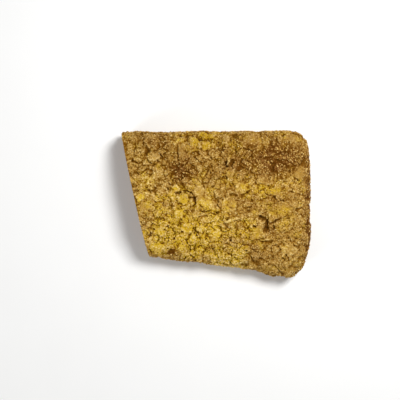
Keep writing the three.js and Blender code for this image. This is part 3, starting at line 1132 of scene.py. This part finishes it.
def large_pores():
    """The pockets of the cut, as in the solid: drawn by chance, largest first, clear of each other."""
    half = (side_reach(FAR, CUT_X) + side_reach(NEAR, CUT_X)) / 2 / -ALONG_CUT[1]
    pores = []
    for draw in range(PORE_TRIES):
        size = PORE_LARGEST + (PORE_SMALLEST - PORE_LARGEST) * (len(pores) / PORE_COUNT) ** PORE_TAPER
        across, up, turn = chance(np.array([(draw, use, PORE_SEED) for use in (1, 2, 3)]))
        pore = Pore(half * SOUND_SHARE * (2 * across - 1), CROWN_HEIGHT * up, size, pi * turn)
        outer = (abs(pore.along) + size) / half
        crown = WAIST_HEIGHT + (CROWN_HEIGHT - WAIST_HEIGHT) * closing(outer, ROUND_NEAR)
        is_sound = pore.height - size > SOUND_RIND and pore.height + size < crown - SOUND_RIND
        is_clear = all(
            np.hypot(pore.along - other.along, pore.height - other.height) > size + other.size + PORE_GAP
            for other in pores
        )
        if is_sound and is_clear and len(pores) < PORE_COUNT:
            pores.append(pore)
    return pores


def pore_depth(points):
    """Depth of the crumb's pores: half ellipsoids with bent edges for the large ones, and one small round
    dent in most cells of two random lattices."""
    bent = points + PORE_FRAY * bend(points, PORE_FRAY_SIZE)
    along, height = (bent - CUT_MIDDLE) @ ALONG_CUT, bent[:, 2]
    depth = np.zeros(len(points))
    for pore in large_pores():
        da, dh = along - pore.along, height - pore.height
        u = (da * cos(pore.turn) + dh * sin(pore.turn)) / pore.size
        v = (dh * cos(pore.turn) - da * sin(pore.turn)) / (pore.size * POCKET_HEIGHT)
        depth = np.maximum(depth, pore.size * POCKET_DEPTH * np.sqrt(np.maximum(0, 1 - u * u - v * v)))
    for cell in SMALL_PORE_CELLS:
        share, way, _ = plates_at(bent / cell)
        reach = SMALL_PORE_REACH * share
        depth = np.maximum(depth, cell * np.sqrt(np.maximum(0, reach**2 - (way**2).sum(axis=-1))))
    return depth


def stretched(edge, steps):
    """A row of points spread over more steps, each between two of the old ones."""
    old, new = np.linspace(0, 1, len(edge)), np.linspace(0, 1, steps + 1)
    return np.stack([np.interp(new, old, edge[:, axis]) for axis in range(3)], axis=-1)


def filled(floor, top, near, far):
    """A sheet between four edges: both ways across blended, less the blend of the four corners."""
    s, t = np.linspace(0, 1, len(floor))[None, :, None], np.linspace(0, 1, len(near))[:, None, None]
    across = (1 - s) * near[:, None] + s * far[:, None]
    up = (1 - t) * floor[None] + t * top[None]
    corners = (1 - t) * ((1 - s) * floor[0] + s * floor[-1]) + t * ((1 - s) * top[0] + s * top[-1])
    return across + up - corners


class CIABATTA_OT_crumb(bpy.types.Operator):
    """Make the crumb of the cut face: a slab with open pores that fills the recess in the crust"""

    bl_idname = "ciabatta.crumb"
    bl_label = "Crumb"

    def execute(self, context):
        settings, crust = context.scene.ciabatta_crumb, context.scene.ciabatta_crust
        shape = loaf_shape()
        ring = shape.cut_ring[:-1]
        moved = np.zeros_like(shape.points)
        moved[ring] = inset(shape.points[ring], crust.rind - settings.overlap)
        moved[ring] += settings.setback * INTO_CUT
        across, up = CRUMB_FINENESS[0] * STEPS_ACROSS, CRUMB_FINENESS[1] * STEPS_UP
        front = filled(
            floor=stretched(moved[shape.sheets["cut_floor"]], across),
            top=stretched(moved[shape.sheets["top"][0]], across),
            near=stretched(moved[shape.sheets["near"][0]], up),
            far=stretched(moved[shape.sheets["far"][:, 0]], up),
        )
        flat = front.reshape(-1, 3)
        s, t = np.meshgrid(np.linspace(0, 1, across + 1), np.linspace(0, 1, up + 1))
        inner = smoothstep(np.minimum(np.minimum(s, 1 - s), np.minimum(t, 1 - t)).ravel(), 0, CRUMB_EDGE)
        depth = inner * (pore_depth(flat) + GRAIN_DEPTH * (1 + noise(flat / GRAIN_SIZE)))
        skin = Skin(flat + depth[:, None] * INTO_CUT)
        grid = np.arange(len(flat)).reshape(up + 1, across + 1)
        skin.add_sheet(grid, CRUMB_AREAS["front"])
        loop = np.concatenate([grid[0, :-1], grid[:-1, -1], grid[-1, :0:-1], grid[:0:-1, 0]])
        back = skin.add_points(inset(skin.points[loop], crust.taper) + settings.depth * INTO_CUT)
        walls = np.stack([loop, back], axis=-1)
        skin.add_sheet(np.concatenate([walls, walls[:1]]), CRUMB_AREAS["walls"])
        pole = skin.add_points(skin.points[back].mean(axis=0)[None])[0]
        skin.add_fan(np.append(back, back[0])[::-1], pole, CRUMB_AREAS["back"])
        pore = np.append(depth, np.zeros(len(skin.points) - len(depth))) / (PORE_LARGEST * POCKET_DEPTH)
        crumb = skin.build("crumb", {"pore": pore}, crumb_finish(settings))
        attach(crumb, "root")
        return {"FINISHED"}


class Spots(NamedTuple):
    """Places on the crust: points, the way out of the crust there, and its tones."""

    points: np.ndarray
    normals: np.ndarray
    tones: dict


def scattered(shape, count, on_brown, draws):
    """Random places on the crust: a field has the more, the larger it is and the less it lies in a gap.

    On browned crust they are denser by the given share, or sparser if it is negative.
    """
    quads = outer_quads(shape.sheets)
    corners = shape.points[quads]
    cross = quad_crosses(corners)
    twice_area = np.linalg.norm(cross, axis=-1)
    bare = np.maximum(shape.tones["hollow"], BARE_RISE - shape.tones["rise"])[quads].mean(axis=-1)
    calm = shape.tones["calm"][quads].mean(axis=-1)
    weight = twice_area * (1 - smoothstep(bare, *BARE_SPAN)) * (1 - BARE_CALM * calm)
    weight *= 1 + on_brown * np.maximum(shape.tones["browned"], 0)[quads].mean(axis=-1)
    chosen = draws.choice(len(quads), count, p=weight / weight.sum())
    u, v = draws.random((2, count))
    shares = np.stack([(1 - u) * (1 - v), u * (1 - v), u * v, (1 - u) * v], axis=-1)
    tones = {key: (values[quads[chosen]] * shares).sum(axis=-1) for key, values in shape.tones.items()}
    normals = cross[chosen] / np.maximum(twice_area[chosen, None], LEAST_NORMAL)
    return Spots((corners[chosen] * shares[..., None]).sum(axis=1), normals, tones)


def nub_solid():
    """Points and faces of a round solid of twenty triangles: two poles with two rings of five between."""
    step = np.arange(5)
    after = (step + 1) % 5
    upper, lower = 2 * pi * step / 5, 2 * pi * (step + 0.5) / 5
    height, reach = 1 / np.sqrt(5), 2 / np.sqrt(5)
    rings = [
        np.stack([reach * np.cos(turn), reach * np.sin(turn), np.full(5, up)], axis=-1)
        for turn, up in ((upper, height), (lower, -height))
    ]
    points = np.concatenate([[(0, 0, 1)], *rings, [(0, 0, -1)]])
    faces = [
        np.stack([0 * step, 1 + step, 1 + after], axis=-1),
        np.stack([1 + step, 6 + step, 1 + after], axis=-1),
        np.stack([1 + after, 6 + step, 6 + after], axis=-1),
        np.stack([0 * step + 11, 6 + after, 6 + step], axis=-1),
    ]
    return points, np.concatenate(faces)


def grown(spots, sizes, sink, draws):
    """One uneven nub at each place: a round solid whose points are drawn in or out by chance, longer one
    way, turned by chance and sunk into the crust.

    Those that would leave the loaf's box or pass the cut are dropped.
    """
    solid, _ = nub_solid()
    count = len(sizes)
    local = solid * draws.uniform(*KNOBBLE, (count, len(solid), 1))
    local *= draws.uniform(SLIMMEST, STOUTEST, (count, 1, 3)) * sizes[:, None, None]
    local[..., 2] -= sink * sizes[:, None]
    aside = np.cross(spots.normals, draws.normal(size=(count, 3)))
    aside /= np.linalg.norm(aside, axis=-1, keepdims=True)
    axes = np.stack([aside, np.cross(spots.normals, aside), spots.normals], axis=1)
    points = spots.points[:, None] + local @ axes
    inside = ((points >= CAD_LOW) & (points <= CAD_HIGH)).all(axis=(1, 2))
    inside &= ((points - CUT_MIDDLE) @ INTO_CUT > 0).all(axis=1)
    return points[inside], inside


def nub_skin(points):
    """All nubs of one kind as one skin.

    Each has a cell of the map, and each pair of its triangles has a part of that cell.
    """
    _, faces = nub_solid()
    count, points_each = points.shape[:2]
    skin = Skin(points.reshape(-1, 3))
    skin.corners.append((faces + points_each * np.arange(count)[:, None, None]).ravel())
    skin.sizes.append(np.full(count * len(faces), 3))
    cells = int(np.ceil(np.sqrt(count)))
    row, column = np.divmod(np.arange(count), cells)
    pair, half = np.divmod(np.arange(len(faces)), 2)
    part = np.stack([pair % 5 / 5, pair // 5 / 2], axis=-1)
    spots = part[:, None] + NUB_PAIR[half] / (5, 2)
    skin.spots.append(((np.stack([column, row], axis=-1)[:, None, None] + spots) / cells).reshape(-1, 2))
    return skin


class CIABATTA_OT_nubs(bpy.types.Operator):
    """Make the nubs of baked flour that roughen the crust"""

    bl_idname = "ciabatta.nubs"
    bl_label = "Flour nubs"

    def execute(self, context):
        settings = context.scene.ciabatta_nubs
        draws = np.random.default_rng(NUB_SEED)
        spots = scattered(loaf_shape(), settings.count, NUB_ON_BROWN, draws)
        sizes = draws.uniform(settings.smallest**0.5, settings.largest**0.5, settings.count) ** 2
        points, inside = grown(spots, sizes, NUB_SINK, draws)
        spots.tones["browned"] *= NUB_BROWNED
        spots.tones["rise"] = draws.uniform(*NUB_RISE, settings.count)
        tones = {key: np.repeat(spots.tones[key][inside], points.shape[1]) for key in NUB_TONES}
        nubs = nub_skin(points).build("flour_nubs", tones, crust_finish(context.scene.ciabatta_crust))
        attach(nubs, "root")
        return {"FINISHED"}


class CIABATTA_OT_meal(bpy.types.Operator):
    """Make the loose maize meal on the crust"""

    bl_idname = "ciabatta.meal"
    bl_label = "Maize meal"

    def execute(self, context):
        settings = context.scene.ciabatta_meal
        draws = np.random.default_rng(MEAL_SEED)
        spots = scattered(loaf_shape(), settings.count, MEAL_ON_BROWN, draws)
        sizes = draws.uniform(settings.smallest, settings.largest, settings.count)
        sizes *= 1 + MEAL_SWELL * np.maximum(spots.tones["browned"], 0)
        points, inside = grown(spots, sizes, MEAL_SINK, draws)
        paleness = np.repeat(draws.random(settings.count)[inside] ** MEAL_DARKNESS, points.shape[1])
        meal = nub_skin(points).build("maize_meal", {"paleness": paleness}, meal_finish(settings))
        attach(meal, "root")
        return {"FINISHED"}


class CIABATTA_OT_stage(bpy.types.Operator):
    """Make the floor, the lights and the camera"""

    bl_idname = "ciabatta.stage"
    bl_label = "Stage"

    def execute(self, context):
        settings = context.scene.ciabatta_stage
        mesh = bpy.data.meshes.new("floor")
        signs = ((-1, -1), (1, -1), (1, 1), (-1, 1))
        corners = [(x * FLOOR_REACH, y * FLOOR_REACH, 0.0) for x, y in signs]
        mesh.from_pydata(corners, [], [(0, 1, 2, 3)])
        mesh.materials.append(floor_finish(settings))
        floor = bpy.data.objects.new("floor", mesh)
        context.scene.collection.objects.link(floor)
        world = bpy.data.worlds.new("studio")
        context.scene.world = world
        world.use_nodes = True
        background = world.node_tree.nodes["Background"]
        background.inputs["Color"].default_value = (1, 1, 1, 1)
        background.inputs["Strength"].default_value = settings.fill
        lamps = (
            ("key", settings.key, KEY_PLACE, KEY_SIZE),
            ("side", settings.side, SIDE_PLACE, SIDE_SIZE),
        )
        for name, power, place, size in lamps:
            light = bpy.data.lights.new(name, "AREA")
            light.energy, light.size = power, size
            lamp = bpy.data.objects.new(name, light)
            lamp.location = place
            lamp.rotation_euler = (-lamp.location).to_track_quat("-Z", "Y").to_euler()
            context.scene.collection.objects.link(lamp)
        lens = bpy.data.cameras.new("camera")
        lens.sensor_width = SENSOR_WIDTH
        lens.angle = 2 * atan(HALF_PICTURE / FOCAL_LENGTH)
        camera = bpy.data.objects.new("camera", lens)
        camera.location = (CAMERA_X, CAMERA_Y, settings.camera_height)
        context.scene.collection.objects.link(camera)
        context.scene.camera = camera
        context.scene.view_settings.view_transform = "Standard"
        return {"FINISHED"}


class CIABATTA_PT_loaf(bpy.types.Panel):
    """The loaf's pieces and their settings"""

    bl_idname = "CIABATTA_PT_loaf"
    bl_label = "Ciabatta loaf"
    bl_space_type = "VIEW_3D"
    bl_region_type = "UI"
    bl_category = "Ciabatta"

    def draw(self, context):
        for operator, (group, settings) in STEPS.items():
            box = self.layout.box()
            box.operator(operator)
            for key in settings.__annotations__:
                box.prop(getattr(context.scene, group), key)


STEPS = {
    "ciabatta.crust": ("ciabatta_crust", CrustSettings),
    "ciabatta.crumb": ("ciabatta_crumb", CrumbSettings),
    "ciabatta.nubs": ("ciabatta_nubs", NubSettings),
    "ciabatta.meal": ("ciabatta_meal", MealSettings),
    "ciabatta.stage": ("ciabatta_stage", StageSettings),
}
CLASSES = (
    *(settings for _, settings in STEPS.values()),
    CIABATTA_OT_crust,
    CIABATTA_OT_crumb,
    CIABATTA_OT_nubs,
    CIABATTA_OT_meal,
    CIABATTA_OT_stage,
    CIABATTA_PT_loaf,
)


def register():
    """Make the settings, the operators and the panel known."""
    for cls in CLASSES:
        bpy.utils.register_class(cls)
    for group, settings in STEPS.values():
        setattr(bpy.types.Scene, group, PointerProperty(type=settings))


def unregister():
    """Undo what register did."""
    for group, _ in STEPS.values():
        delattr(bpy.types.Scene, group)
    for cls in reversed(CLASSES):
        bpy.utils.unregister_class(cls)


def main():
    """Make the loaf and its stage."""
    register()
    bpy.ops.ciabatta.crust()
    bpy.ops.ciabatta.crumb()
    bpy.ops.ciabatta.nubs()
    bpy.ops.ciabatta.meal()
    bpy.ops.ciabatta.stage()


if __name__ == "__main__":
    main()
